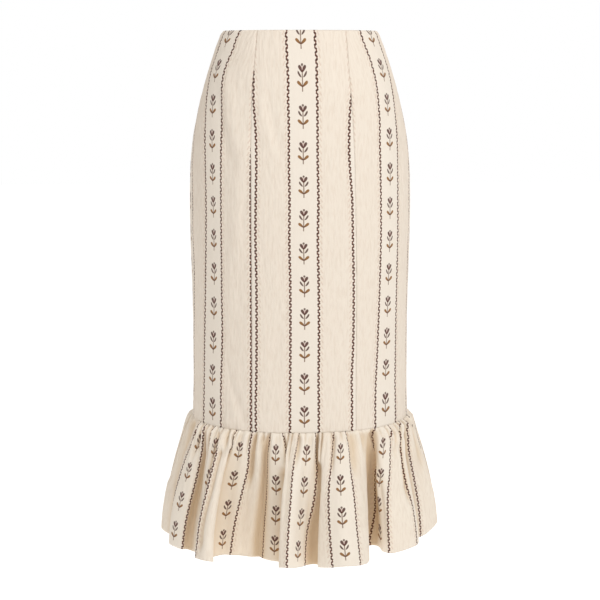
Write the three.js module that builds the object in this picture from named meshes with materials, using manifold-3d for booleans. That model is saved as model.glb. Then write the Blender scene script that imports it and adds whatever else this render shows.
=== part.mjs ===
// A worn, filled-out midi skirt: a shaped body of five panels over a gathered hem flounce,
// closed by a concealed zip in the centre-back seam. Millimetres, +Z up, the wearer faces -Y.
// The origin is the middle of the waist opening, level with the top edge.
import * as THREE from 'three';
import { mergeVertices } from 'three/addons/utils/BufferGeometryUtils.js';
import Module from 'manifold-3d';

const wasm = await Module();
wasm.setup();

// Driving dimensions
const BODY_WALL = 1.5;
const FLOUNCE_WALL = 1.8;
const SEAM_GAP = 0.3;
const SQUARENESS = 2.2;
const FLOUNCE_CUT_LENGTH = 201.5;
const FLOUNCE_CUT_WIDTH = 945;
const FLARE_EASE = 1.55;

// The body's rings from the waist down: half width at the side seams, depth in front of
// and behind them, and the arc from the centre front to the princess seam on either side.
const BODY_RINGS = [
  { z: 0, half: 118, front: 98, back: 88, leftSeam: 70.5, rightSeam: 66 },
  { z: -10, half: 123.5, front: 101, back: 91, leftSeam: 71.5, rightSeam: 66.3 },
  { z: -30, half: 131, front: 107, back: 97, leftSeam: 73.5, rightSeam: 67 },
  { z: -58, half: 140.4, front: 115, back: 106, leftSeam: 76, rightSeam: 68.2 },
  { z: -90, half: 149.8, front: 123.5, back: 118, leftSeam: 79.5, rightSeam: 70.5 },
  { z: -125, half: 158.5, front: 131.5, back: 132, leftSeam: 80.7, rightSeam: 72 },
  { z: -162, half: 165.5, front: 138.5, back: 143, leftSeam: 81.2, rightSeam: 73.5 },
  { z: -205, half: 169.9, front: 144.5, back: 148.5, leftSeam: 81.4, rightSeam: 75 },
  { z: -255, half: 171.3, front: 149, back: 149, leftSeam: 81.6, rightSeam: 76.3 },
  { z: -310, half: 171.2, front: 151, back: 146.5, leftSeam: 81.7, rightSeam: 77.4 },
  { z: -370, half: 169.7, front: 151, back: 143.5, leftSeam: 81.7, rightSeam: 78.2 },
  { z: -430, half: 168.5, front: 150, back: 141.5, leftSeam: 81.7, rightSeam: 78.6 },
  { z: -490, half: 168.6, front: 149, back: 141, leftSeam: 81.6, rightSeam: 78.8 },
  { z: -545, half: 168.9, front: 149, back: 141.5, leftSeam: 81.6, rightSeam: 78.9 },
  { z: -597.5, half: 170.5, front: 150, back: 142, leftSeam: 81.6, rightSeam: 79 },
];

// Columns of facets across each panel
const CENTRE_COLUMNS = 11;
const SIDE_COLUMNS = 13;
const BACK_COLUMNS = 18;

// The hem's folds: cloth distance u from the centre front towards the right side, round the
// back and on to the left side, and where that point of the hem hangs.
const HEM_FOLDS = [
  { u: -472.5, x: -222, y: 22 },
  { u: -460, x: -222, y: 10 },
  { u: -440, x: -214, y: -8 },
  { u: -418, x: -203, y: -27 },
  { u: -400, x: -205, y: -46 },
  { u: -384, x: -208, y: -64 },
  { u: -364, x: -201, y: -82 },
  { u: -343, x: -188, y: -94 },
  { u: -325, x: -172, y: -94 },
  { u: -308, x: -160, y: -97 },
  { u: -290, x: -159, y: -113 },
  { u: -270, x: -165, y: -133 },
  { u: -252, x: -168, y: -151 },
  { u: -236, x: -160, y: -165 },
  { u: -220, x: -146, y: -171 },
  { u: -206, x: -136, y: -158 },
  { u: -190, x: -131, y: -132 },
  { u: -176, x: -124, y: -118 },
  { u: -161, x: -113, y: -116 },
  { u: -137, x: -91, y: -121 },
  { u: -112, x: -66, y: -134 },
  { u: -98, x: -54, y: -143 },
  { u: -82, x: -48, y: -158 },
  { u: -58, x: -47, y: -187 },
  { u: -38, x: -42, y: -206 },
  { u: -21, x: -30, y: -205 },
  { u: -2, x: -16, y: -187 },
  { u: 21, x: -2, y: -171 },
  { u: 34, x: 9, y: -175 },
  { u: 52, x: 22, y: -192 },
  { u: 70, x: 36, y: -207 },
  { u: 90, x: 55, y: -213 },
  { u: 112, x: 79, y: -199 },
  { u: 126, x: 93, y: -178 },
  { u: 138, x: 98, y: -152 },
  { u: 150, x: 101, y: -122 },
  { u: 161, x: 109, y: -98 },
  { u: 180, x: 119, y: -98 },
  { u: 192, x: 122, y: -111 },
  { u: 202, x: 131, y: -119 },
  { u: 226, x: 149, y: -114 },
  { u: 252, x: 175, y: -101 },
  { u: 272, x: 184, y: -82 },
  { u: 293, x: 187, y: -61 },
  { u: 312, x: 200, y: -50 },
  { u: 340, x: 221, y: -21 },
  { u: 358, x: 222, y: -4 },
  { u: 376, x: 210, y: 1 },
  { u: 396, x: 195, y: 2 },
  { u: 414, x: 190, y: 12 },
  { u: 434, x: 200, y: 20 },
  { u: 454, x: 217, y: 20 },
  { u: 472.5, x: 225, y: 31 },
  { u: 500, x: 217, y: 54 },
  { u: 530, x: 186, y: 66 },
  { u: 560, x: 178, y: 98 },
  { u: 590, x: 186, y: 124 },
  { u: 622, x: 154, y: 134 },
  { u: 652, x: 128, y: 128 },
  { u: 682, x: 130, y: 158 },
  { u: 712, x: 112, y: 176 },
  { u: 744, x: 84, y: 156 },
  { u: 776, x: 68, y: 158 },
  { u: 808, x: 60, y: 192 },
  { u: 840, x: 36, y: 203 },
  { u: 876, x: 16, y: 168 },
  { u: 910, x: -12, y: 162 },
  { u: 944, x: -26, y: 192 },
  { u: 976, x: -52, y: 200 },
  { u: 1008, x: -66, y: 166 },
  { u: 1040, x: -92, y: 150 },
  { u: 1074, x: -108, y: 176 },
  { u: 1106, x: -134, y: 168 },
  { u: 1138, x: -132, y: 130 },
  { u: 1172, x: -148, y: 116 },
  { u: 1206, x: -178, y: 130 },
  { u: 1238, x: -192, y: 108 },
  { u: 1270, x: -174, y: 80 },
  { u: 1304, x: -178, y: 60 },
  { u: 1338, x: -206, y: 70 },
  { u: 1370, x: -218, y: 56 },
  { u: 1396, x: -214, y: 38 },
];
const HEM_CLOTH = 2 * FLOUNCE_CUT_WIDTH;

// Gathers: how many in each half, the facets that draw one, the rows of the wall below the
// seam, and how far the cloth stands in and out at each row for the fine gathers, and for
// the waves of two and of four gathers that they run together into.
const GATHERS_PER_HALF = 61;
const FLOUNCE_ROWS = [
  { fall: 0, fine: 0.8, double: 0, broad: 0, puff: 0, facets: 4 },
  { fall: 7, fine: 1.7, double: 0.2, broad: 0, puff: 3.4, facets: 4 },
  { fall: 22, fine: 1.8, double: 0.8, broad: 0.4, puff: 3.8, facets: 4 },
  { fall: 46, fine: 1.2, double: 1.4, broad: 1.2, puff: 2.4, facets: 2 },
  { fall: 82, fine: 0.6, double: 1.3, broad: 2.1, puff: 1.0, facets: 2 },
  { fall: 122, fine: 0.3, double: 1.0, broad: 2.4, puff: 0.3, facets: 2 },
  { fall: 162, fine: 0.2, double: 0.8, broad: 2.2, puff: 0, facets: 2 },
  { fall: FLOUNCE_CUT_LENGTH, fine: 0.2, double: 0.8, broad: 2.0, puff: 0, facets: 2 },
];
const GATHER_DRIFT = [
  { size: 4.2, cycles: 5 },
  { size: 2.4, cycles: 12 },
  { size: 1.1, cycles: 23 },
];

// The zip's slider and pull, measured from the bar that the pull swings on
const ZIP_BAR_Z = -9;
const ZIP_BAR_HEIGHT = 3.6;
const ZIP_BAR_RADIUS = 0.6;
const SLIDER_WIDTH = 5.2;
const SLIDER_UP = 5;
const SLIDER_DOWN = 4.2;
const SLIDER_THICKNESS = 1.2;
const EAR_THICKNESS = 1;
const EAR_GAP = 2.4;
const EAR_RADIUS = 1.3;
const EYE_HOLE_RADIUS = 0.95;
const EYE_RADIUS = 1.75;
const PULL_NECK_WIDTH = 1.6;
const PULL_NECK_LENGTH = 3.2;
const PULL_THICKNESS = 1.2;
const PULL_WIDTH = 6.4;
const PULL_LENGTH = 17;
const PULL_LEAN = THREE.MathUtils.degToRad(9);

// Materials
const linen = new THREE.MeshStandardMaterial({ color: 0xeadfcf, roughness: 0.92, metalness: 0 });
const flounceLinen = new THREE.MeshStandardMaterial({ color: 0xe6d9c8, roughness: 0.92, metalness: 0 });
const creamEnamel = new THREE.MeshStandardMaterial({ color: 0xe4d8c4, roughness: 0.38, metalness: 0.1 });

// One level of the body: points from the centre front round the right side to the centre back,
// with the arc walked so far.
const RING_POINTS = 240;

function ringOutline({ half, front, back }) {
  const power = 2 / SQUARENESS;
  const outline = [];
  let arc = 0;
  for (let i = 0; i <= RING_POINTS; i++) {
    const turn = Math.PI * i / RING_POINTS;
    const forward = Math.cos(turn);
    const depth = forward > 0 ? front : back;
    const x = half * Math.abs(Math.sin(turn)) ** power;
    const y = -depth * Math.sign(forward) * Math.abs(forward) ** power;
    if (i > 0) {
      const last = outline[i - 1];
      arc += Math.hypot(x - last.x, y - last.y);
    }
    outline.push({ x, y, arc });
  }
  return outline;
}

function arcToSide(outline) {
  return outline[RING_POINTS / 2].arc;
}

function arcToBack(outline) {
  return outline[RING_POINTS].arc;
}

// A point on a level, at a signed arc from the centre front, with the way out of the cloth.
function onRing(outline, arc) {
  const side = arc < 0 ? -1 : 1;
  const walked = Math.abs(arc);
  let i = 1;
  while (i < RING_POINTS && outline[i].arc < walked) i++;
  const from = outline[i - 1];
  const to = outline[i];
  const share = (walked - from.arc) / (to.arc - from.arc);
  const length = to.arc - from.arc;
  return {
    x: side * (from.x + (to.x - from.x) * share),
    y: from.y + (to.y - from.y) * share,
    outX: side * (to.y - from.y) / length,
    outY: -(to.x - from.x) / length,
  };
}

// A closed wall from rows of outer and inner points. Each row runs to the right as seen from
// outside, and the rows run down. Rows may have different counts: at says how far along.
function closedWall(rows) {
  const positions = [];
  const index = [];
  const outerStart = [];
  const innerStart = [];
  for (const row of rows) {
    outerStart.push(positions.length / 3);
    row.outer.forEach((p) => positions.push(p.x, p.y, p.z));
    innerStart.push(positions.length / 3);
    row.inner.forEach((p) => positions.push(p.x, p.y, p.z));
  }

  function strip(upper, upperAt, lower, lowerAt, flipped) {
    const face = (a, b, c) => (flipped ? index.push(a, c, b) : index.push(a, b, c));
    let i = 0;
    let j = 0;
    while (i < upperAt.length - 1 || j < lowerAt.length - 1) {
      const upperNext = i < upperAt.length - 1 ? upperAt[i + 1] : Infinity;
      const lowerNext = j < lowerAt.length - 1 ? lowerAt[j + 1] : Infinity;
      if (lowerNext <= upperNext) {
        face(upper + i, lower + j, lower + j + 1);
        j++;
      } else {
        face(upper + i, lower + j, upper + i + 1);
        i++;
      }
    }
  }

  for (let r = 0; r < rows.length - 1; r++) {
    const here = rows[r].at;
    const below = rows[r + 1].at;
    strip(outerStart[r], here, outerStart[r + 1], below, false);
    strip(innerStart[r], here, innerStart[r + 1], below, true);
    const hereEnd = here.length - 1;
    const belowEnd = below.length - 1;
    index.push(innerStart[r], innerStart[r + 1], outerStart[r + 1]);
    index.push(innerStart[r], outerStart[r + 1], outerStart[r]);
    index.push(outerStart[r] + hereEnd, outerStart[r + 1] + belowEnd, innerStart[r + 1] + belowEnd);
    index.push(outerStart[r] + hereEnd, innerStart[r + 1] + belowEnd, innerStart[r] + hereEnd);
  }
  const last = rows.length - 1;
  strip(innerStart[0], rows[0].at, outerStart[0], rows[0].at, false);
  strip(outerStart[last], rows[last].at, innerStart[last], rows[last].at, false);

  const geometry = new THREE.BufferGeometry();
  geometry.setAttribute('position', new THREE.Float32BufferAttribute(positions, 3));
  geometry.setIndex(index);
  geometry.computeVertexNormals();
  return geometry;
}

function named(name, geometry, material) {
  const mesh = new THREE.Mesh(geometry, material);
  mesh.name = name;
  return mesh;
}

// A body panel between two seams, each given as its arc on every ring.
function bodyPanel(columns, startArc, endArc) {
  const rows = BODY_RINGS.map((ring, r) => {
    const outline = ringOutline(ring);
    const start = startArc(ring, outline) + SEAM_GAP / 2;
    const end = endArc(ring, outline) - SEAM_GAP / 2;
    const z = r === BODY_RINGS.length - 1 ? ring.z + SEAM_GAP / 2 : ring.z;
    const row = { outer: [], inner: [], at: [] };
    for (let c = 0; c <= columns; c++) {
      const p = onRing(outline, start + (end - start) * c / columns);
      row.at.push(c);
      row.outer.push(new THREE.Vector3(p.x, p.y, z));
      row.inner.push(new THREE.Vector3(p.x - p.outX * BODY_WALL, p.y - p.outY * BODY_WALL, z));
    }
    return row;
  });
  return closedWall(rows);
}

function frontPanels() {
  const leftPrincess = (ring) => -ring.leftSeam;
  const rightPrincess = (ring) => ring.rightSeam;
  const leftSide = (ring, outline) => -arcToSide(outline);
  const rightSide = (ring, outline) => arcToSide(outline);
  return [
    named('front_centre', bodyPanel(CENTRE_COLUMNS, leftPrincess, rightPrincess), linen),
    named('front_side_left', bodyPanel(SIDE_COLUMNS, leftSide, leftPrincess), linen),
    named('front_side_right', bodyPanel(SIDE_COLUMNS, rightPrincess, rightSide), linen),
  ];
}

function backPanels() {
  const leftBack = (ring, outline) => -arcToBack(outline);
  const leftSide = (ring, outline) => -arcToSide(outline);
  const rightSide = (ring, outline) => arcToSide(outline);
  const rightBack = (ring, outline) => arcToBack(outline);
  return [
    named('back_left', bodyPanel(BACK_COLUMNS, leftBack, leftSide), linen),
    named('back_right', bodyPanel(BACK_COLUMNS, rightSide, rightBack), linen),
  ];
}

// Where a point of the hem hangs: a smooth closed curve through the fold table.
function onHem(u) {
  const count = HEM_FOLDS.length;
  const first = HEM_FOLDS[0].u;
  const wrapped = first + ((u - first) % HEM_CLOTH + HEM_CLOTH) % HEM_CLOTH;
  const row = (k) => {
    const lap = Math.floor(k / count);
    const fold = HEM_FOLDS[k - lap * count];
    return { u: fold.u + lap * HEM_CLOTH, x: fold.x, y: fold.y };
  };
  let k = 0;
  while (row(k + 1).u < wrapped) k++;
  const [before, from, to, after] = [row(k - 1), row(k), row(k + 1), row(k + 2)];
  const step = to.u - from.u;
  const t = (wrapped - from.u) / step;
  const blend = (key) => {
    const leave = (to[key] - before[key]) / (to.u - before.u) * step;
    const arrive = (after[key] - from[key]) / (after.u - from.u) * step;
    return (2 * t ** 3 - 3 * t ** 2 + 1) * from[key] + (t ** 3 - 2 * t ** 2 + t) * leave
      + (3 * t ** 2 - 2 * t ** 3) * to[key] + (t ** 3 - t ** 2) * arrive;
  };
  return { x: blend('x'), y: blend('y') };
}

// The flounce is sewn to the body's last ring. The cloth is longer than that ring, and its
// gathers take up the difference.
const SEAM_RING = BODY_RINGS[BODY_RINGS.length - 1];
const seamOutline = ringOutline(SEAM_RING);

function onSeam(u) {
  const wrapped = u > HEM_CLOTH / 2 ? u - HEM_CLOTH : u;
  const frontShare = arcToSide(seamOutline) / (FLOUNCE_CUT_WIDTH / 2);
  const backShare = (arcToBack(seamOutline) - arcToSide(seamOutline)) / (FLOUNCE_CUT_WIDTH / 2);
  const side = Math.sign(wrapped) || 1;
  const walked = Math.abs(wrapped);
  const inFront = Math.min(walked, FLOUNCE_CUT_WIDTH / 2);
  return onRing(seamOutline, side * (inFront * frontShare + (walked - inFront) * backShare));
}

// The smooth cloth before its gathers: from the seam out to the hem's folds.
function flouncePlan(u, share) {
  const seam = onSeam(u);
  const hem = onHem(u);
  const flare = 1 - (1 - share) ** FLARE_EASE;
  return { x: seam.x + (hem.x - seam.x) * flare, y: seam.y + (hem.y - seam.y) * flare };
}

// How far the cloth has dropped: the same cloth length everywhere, so a fold that swings out
// further hangs higher.
const DROP_STEPS = 24;

function flounceDrop(u, share) {
  const seam = onSeam(u);
  const hem = onHem(u);
  const swing = Math.hypot(hem.x - seam.x, hem.y - seam.y);
  let drop = 0;
  for (let i = 0; i < DROP_STEPS; i++) {
    const middle = share * (i + 0.5) / DROP_STEPS;
    const outward = swing * FLARE_EASE * (1 - middle) ** (FLARE_EASE - 1);
    drop += Math.sqrt(FLOUNCE_CUT_LENGTH ** 2 - outward ** 2) * share / DROP_STEPS;
  }
  return drop;
}

const NORMAL_STEP = 2;

function flouncePoint(u, gather, row) {
  const share = row.fall / FLOUNCE_CUT_LENGTH;
  const middle = flouncePlan(u, share);
  const before = flouncePlan(u - NORMAL_STEP, share);
  const after = flouncePlan(u + NORMAL_STEP, share);
  const length = Math.hypot(after.x - before.x, after.y - before.y);
  const outX = (after.y - before.y) / length;
  const outY = -(after.x - before.x) / length;
  const turn = 2 * Math.PI * gather;
  const uneven = 1 + 0.3 * Math.sin(gather * 1.9) * Math.sin(gather * 0.37);
  const wave = -row.fine * uneven * Math.cos(turn)
    + row.double * Math.sin(turn / 2 + 0.6 * Math.sin(gather * 0.31))
    + row.broad * Math.sin(turn / 4 + 1.1 * Math.sin(gather * 0.17));
  const stand = row.puff + wave;
  const z = SEAM_RING.z - SEAM_GAP / 2 - flounceDrop(u, share);
  return {
    outer: new THREE.Vector3(middle.x + outX * stand, middle.y + outY * stand, z),
    inner: new THREE.Vector3(
      middle.x + outX * (stand - FLOUNCE_WALL),
      middle.y + outY * (stand - FLOUNCE_WALL),
      z,
    ),
  };
}

// Half of the flounce between the side seams, starting at cloth distance startU.
function flounceHalf(name, startU) {
  const sideGap = SEAM_GAP;
  const rows = FLOUNCE_ROWS.map((row) => {
    const built = { outer: [], inner: [], at: [] };
    const facets = GATHERS_PER_HALF * row.facets;
    for (let f = 0; f <= facets; f++) {
      const share = f / facets;
      const drift = GATHER_DRIFT.reduce(
        (sum, { size, cycles }) => sum + size * Math.sin(2 * Math.PI * cycles * share),
        0,
      );
      const u = startU + sideGap + (FLOUNCE_CUT_WIDTH - 2 * sideGap) * share + drift;
      const point = flouncePoint(u, share * GATHERS_PER_HALF, row);
      built.at.push(share);
      built.outer.push(point.outer);
      built.inner.push(point.inner);
    }
    return built;
  });
  return named(name, closedWall(rows), flounceLinen);
}

function flounce() {
  return [
    flounceHalf('flounce_front', -FLOUNCE_CUT_WIDTH / 2),
    flounceHalf('flounce_back', FLOUNCE_CUT_WIDTH / 2),
  ];
}

// Solids for joining: a geometry as a manifold solid, and back again.
function solid(geometry) {
  const bare = geometry.clone();
  bare.deleteAttribute('normal');
  bare.deleteAttribute('uv');
  const merged = mergeVertices(bare, 1e-4);
  return new wasm.Manifold(new wasm.Mesh({
    numProp: 3,
    vertProperties: new Float32Array(merged.attributes.position.array),
    triVerts: new Uint32Array(merged.index.array),
  }));
}

function geometryOf(manifold) {
  const mesh = manifold.getMesh();
  const geometry = new THREE.BufferGeometry();
  geometry.setAttribute('position', new THREE.Float32BufferAttribute(mesh.vertProperties, 3));
  geometry.setIndex(Array.from(mesh.triVerts));
  geometry.computeVertexNormals();
  return geometry;
}

// A flat outline given a thickness, centred on its own plane.
function plate(shape, thickness) {
  const geometry = new THREE.ExtrudeGeometry(shape, {
    depth: thickness,
    bevelEnabled: false,
    curveSegments: 8,
  });
  return geometry.translate(0, 0, -thickness / 2);
}

// In the zip's own frame X runs across, Y out of the cloth and Z up along it, from the bar.
function acrossBar(geometry) {
  return geometry.rotateY(Math.PI / 2);
}

function facingOut(geometry) {
  return geometry.rotateX(Math.PI / 2);
}

function sliderGeometry() {
  const plateTop = -(ZIP_BAR_HEIGHT - SEAM_GAP - SLIDER_THICKNESS);
  const outline = new THREE.Shape();
  const halfWidth = SLIDER_WIDTH / 2;
  const shoulder = 1.4;
  outline.moveTo(-halfWidth, -SLIDER_DOWN + shoulder);
  outline.quadraticCurveTo(-halfWidth, -SLIDER_DOWN, 0, -SLIDER_DOWN);
  outline.quadraticCurveTo(halfWidth, -SLIDER_DOWN, halfWidth, -SLIDER_DOWN + shoulder);
  outline.lineTo(halfWidth, SLIDER_UP - shoulder);
  outline.quadraticCurveTo(halfWidth, SLIDER_UP, halfWidth - shoulder, SLIDER_UP);
  outline.lineTo(-halfWidth + shoulder, SLIDER_UP);
  outline.quadraticCurveTo(-halfWidth, SLIDER_UP, -halfWidth, SLIDER_UP - shoulder);
  const base = facingOut(plate(outline, SLIDER_THICKNESS));
  base.translate(0, plateTop - SLIDER_THICKNESS / 2, 0);
  let slider = solid(base);

  const earFoot = plateTop - SLIDER_THICKNESS / 2;
  const ear = new THREE.Shape();
  ear.moveTo(EAR_RADIUS, earFoot);
  ear.lineTo(EAR_RADIUS, 0);
  ear.absarc(0, 0, EAR_RADIUS, 0, Math.PI, false);
  ear.lineTo(-EAR_RADIUS, earFoot);
  for (const side of [-1, 1]) {
    const earPlate = acrossBar(plate(ear, EAR_THICKNESS));
    earPlate.translate(side * (EAR_GAP + EAR_THICKNESS) / 2, 0, 0);
    slider = slider.add(solid(earPlate));
  }
  const bar = new THREE.CylinderGeometry(ZIP_BAR_RADIUS, ZIP_BAR_RADIUS, EAR_GAP + EAR_THICKNESS, 12);
  return geometryOf(slider.add(solid(bar.rotateZ(Math.PI / 2))));
}

function pullGeometry() {
  const eye = new THREE.Shape();
  eye.absarc(0, 0, EYE_RADIUS, 0, 2 * Math.PI, false);
  const hole = new THREE.Path();
  hole.absarc(0, 0, EYE_HOLE_RADIUS, 0, 2 * Math.PI, true);
  eye.holes.push(hole);
  const ring = solid(acrossBar(plate(eye, PULL_NECK_WIDTH)));

  const halfNeck = PULL_NECK_WIDTH / 2;
  const halfWidth = PULL_WIDTH / 2;
  const roundCentre = -PULL_LENGTH + halfWidth;
  const drop = new THREE.Shape();
  drop.moveTo(-halfNeck, -(EYE_RADIUS + EYE_HOLE_RADIUS) / 2);
  drop.lineTo(-halfNeck, -PULL_NECK_LENGTH);
  drop.bezierCurveTo(-halfNeck, -PULL_NECK_LENGTH - 3, -halfWidth, roundCentre + 5, -halfWidth, roundCentre);
  drop.absarc(0, roundCentre, halfWidth, Math.PI, 2 * Math.PI, false);
  drop.bezierCurveTo(halfWidth, roundCentre + 5, halfNeck, -PULL_NECK_LENGTH - 3, halfNeck, -PULL_NECK_LENGTH);
  drop.lineTo(halfNeck, -(EYE_RADIUS + EYE_HOLE_RADIUS) / 2);
  const tab = solid(facingOut(plate(drop, PULL_THICKNESS)));
  return geometryOf(ring.add(tab));
}

// The slider sits on the outside of the centre-back seam, on the slope of the cloth there.
// The pull hangs from its bar and leans until its tip lies against the cloth.
function zip() {
  const [top, , lower] = BODY_RINGS;
  const slope = (lower.back - top.back) / (top.z - lower.z);
  const tilt = Math.atan(slope);
  const group = new THREE.Group();
  group.position.set(
    0,
    top.back - slope * ZIP_BAR_Z + ZIP_BAR_HEIGHT * Math.cos(tilt),
    ZIP_BAR_Z + ZIP_BAR_HEIGHT * Math.sin(tilt),
  );
  group.rotation.x = tilt;
  const slider = named('zip_slider', sliderGeometry(), creamEnamel);
  const pull = named('zip_pull', pullGeometry(), creamEnamel);
  pull.rotation.x = -PULL_LEAN;
  group.add(slider, pull);
  return group;
}

const skirt = new THREE.Group();
skirt.add(...frontPanels(), ...backPanels(), ...flounce(), zip());

export default skirt;
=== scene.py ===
"""A linen midi skirt with a gathered hem flounce: its cloth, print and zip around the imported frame.

Shapes are worked out in millimetres, in the frame's own axes, and written in metres.
Arcs run along the cloth from the centre front, positive towards the right-hand side.
"""

import math

import bmesh
import bpy
import numpy as np
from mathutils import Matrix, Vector


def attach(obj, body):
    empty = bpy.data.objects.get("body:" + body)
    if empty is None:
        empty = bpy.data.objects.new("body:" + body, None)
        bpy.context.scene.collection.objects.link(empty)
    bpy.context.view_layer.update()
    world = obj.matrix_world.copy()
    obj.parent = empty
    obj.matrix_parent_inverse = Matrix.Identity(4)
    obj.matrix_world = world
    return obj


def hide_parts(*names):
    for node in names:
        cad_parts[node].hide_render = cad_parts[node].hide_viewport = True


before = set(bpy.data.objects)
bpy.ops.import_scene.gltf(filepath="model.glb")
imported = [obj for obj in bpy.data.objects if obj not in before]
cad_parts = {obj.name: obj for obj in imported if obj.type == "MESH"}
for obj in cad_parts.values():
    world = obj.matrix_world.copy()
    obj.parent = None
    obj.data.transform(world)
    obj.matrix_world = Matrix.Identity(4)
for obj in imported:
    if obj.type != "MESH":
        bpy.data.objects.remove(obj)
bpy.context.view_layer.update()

MM = 0.001

# The skirt's driving sizes, as cut and sewn
SQUARENESS = 2.2
SEAM_Z = -597.5
FLOUNCE_LENGTH = 201.5
FLOUNCE_WIDTH = 945.0
HEM_CLOTH = 2 * FLOUNCE_WIDTH
FLARE_EASE = 1.55
GATHERS_PER_HALF = 50
CLOTH_THICKNESS = 1.1
FLOUNCE_THICKNESS = 1.0
HALF_SEAM_GAP = 0.15

# The printed stripe's repeat: flower bands between two chains, plain cloth between bands
STRIPE_REPEAT = 93.4
BAND_HALF = 21.2
FLOWER_PITCH = 49.3
CHAIN_PITCH = 8.8
CHAIN_SWING = 0.95
CHAIN_HALF = 1.20
BLUSH_PLACE = BAND_HALF + 4.7
STEM_HALF = 12.6
HEART_UP = 27.2
BUD_UP = 31.3
THREAD_PITCH = 0.62
FLOUNCE_PRINT_SCALE = STRIPE_REPEAT / 91.0

# How far to each side a chain or a flower keeps its own width along a fold
CHAIN_KEPT = 5.0
FLOWER_KEPT = 9.0

# z, half width, depth in front, depth behind, princess seams left and right of centre front
BODY_RINGS = np.array([
    (0, 118, 98, 88, 70.5, 66),
    (-10, 123.5, 101, 91, 71.5, 66.3),
    (-30, 131, 107, 97, 73.5, 67),
    (-58, 140.4, 115, 106, 76, 68.2),
    (-90, 149.8, 123.5, 118, 79.5, 70.5),
    (-125, 158.5, 131.5, 132, 80.7, 72),
    (-162, 165.5, 138.5, 143, 81.2, 73.5),
    (-205, 169.9, 144.5, 148.5, 81.4, 75),
    (-255, 171.3, 149, 149, 81.6, 76.3),
    (-310, 171.2, 151, 146.5, 81.7, 77.4),
    (-370, 169.7, 151, 143.5, 81.7, 78.2),
    (-430, 168.5, 150, 141.5, 81.7, 78.6),
    (-490, 168.6, 149, 141, 81.6, 78.8),
    (-545, 168.9, 149, 141.5, 81.6, 78.9),
    (-597.5, 170.5, 150, 142, 81.6, 79),
])
RING_COLUMNS = {"half": 1, "front": 2, "back": 3, "left_seam": 4, "right_seam": 5}
QUARTER_STEPS = 240

# Where the print's lines fall on each front panel: z, then arcs
CENTRE_LINES = {
    "print": (-72.2, -21.2, 21.2, 72.2),
    "rows": [
        (0, -76.5, -26, 16.3, 69.5),
        (-15, -76.8, -25.8, 16.5, 69.9),
        (-44, -78.2, -25.1, 18.2, 71.2),
        (-52, -78, -24.9, 18.2, 71.7),
        (-60, -76.7, -24.6, 18.1, 72.2),
        (-73, -76.4, -24.1, 18.1, 72.9),
        (-88, -76.4, -24.3, 18.2, 73),
        (-96, -76.4, -24.4, 18.3, 71.2),
        (-104, -76.4, -24.5, 18.4, 69.6),
        (-146, -73.4, -23.9, 18.3, 66.4),
        (-190, -72.6, -24.4, 18.1, 66.1),
        (-248, -74, -23.7, 18.8, 70.2),
        (-307, -74.8, -24.2, 17.8, 71.6),
        (-367, -73.7, -22.9, 19.1, 73.3),
        (-457, -73.8, -22.6, 19.9, 73.4),
        (-518, -74.5, -23, 19.6, 71.1),
        (-550, -75.6, -23.4, 19.9, 71.8),
    ],
}
LEFT_LINES = {
    "print": (-114.6, -93.4, -72.2, -21.2),
    "rows": [
        (0, -144, -122.5, -100.6, -50),
        (-15, -151.5, -130.5, -109, -60),
        (-28, -156.5, -135.5, -113.5, -64),
        (-44, -164.5, -143.5, -122.3, -68),
        (-58, -171, -149.8, -128.5, -71),
        (-74, -174, -153, -131.4, -73),
        (-104, -173.6, -153.2, -131.6, -76),
        (-147, -170, -151.8, -131.9, -77.6),
        (-191, -167.4, -149.9, -132.4, -81),
        (-251, -165.6, -148.8, -133.1, -82),
        (-311, -167.5, -148.2, -133.4, -82.2),
        (-372, -171.1, -148.9, -133.5, -82.3),
        (-464, -176.2, -152.3, -133.6, -82.4),
        (-527, -178.3, -155.3, -136.4, -83),
        (-558, -179.6, -155, -137.4, -83.4),
    ],
}
RIGHT_LINES = {
    "print": (72.2, 93.4, 114.6),
    "rows": [
        (0, 91, 113.5, 134),
        (-15, 95.5, 117.8, 139),
        (-28, 101.1, 123, 144.5),
        (-44, 108, 130, 151.5),
        (-58, 112.2, 134.6, 156),
        (-74, 116.4, 138, 159),
        (-103, 119.4, 140.7, 160.8),
        (-148, 120.4, 141.4, 160.7),
        (-192, 119.6, 140.6, 160.5),
        (-252, 120.8, 140.4, 160.3),
        (-312, 121.5, 140.6, 161.4),
        (-372, 120.5, 139, 161.2),
        (-464, 117.5, 136.2, 160.6),
        (-527, 114, 134.4, 159.8),
        (-558, 113.2, 134.3, 161),
    ],
}

# Where the print's lines fall on the flounce: minus the fall, then cloth distances. Uneven
# gathers crowd the print in some places and leave it flat in others.
FLOUNCE_LINES = {
    "print": (-427, -384.3, -343, -252, -202.5, -161.1, -111.6, -91, -70.2, -20.7,
              20.7, 70.2, 111.6, 161.1, 202.5, 252, 293.4, 343, 450),
    "rows": [
        (0, -472.5, -346, -310, -242, -196, -147, -97, -81, -63, -18,
         28, 79, 112, 207, 258, 313, 345, 400, 472.5),
        (-30, -472.5, -355, -314, -236, -200, -147, -104, -82, -50, -22,
         32, 73, 110, 194, 238, 288, 322, 386, 472.5),
        (-60, -472.5, -370, -322, -238, -199, -145, -106, -85, -46, -24,
         35, 68, 108, 184, 226, 270, 306, 374, 472.5),
        (-100, -472.5, -378, -330, -241, -198, -150, -108, -86, -50, -22,
         33, 65, 109, 175, 210, 261, 298, 364, 472.5),
        (-150, -472.5, -386, -338, -250, -195, -157, -111, -90, -60, -21,
         23, 67, 109, 170, 203, 257, 296, 360, 472.5),
        (-201.5, -472.5, -391, -344, -249, -191, -162, -113, -93, -66, -21,
         21, 71, 112, 163, 202, 256, 294, 356, 472.5),
    ],
}

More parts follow.
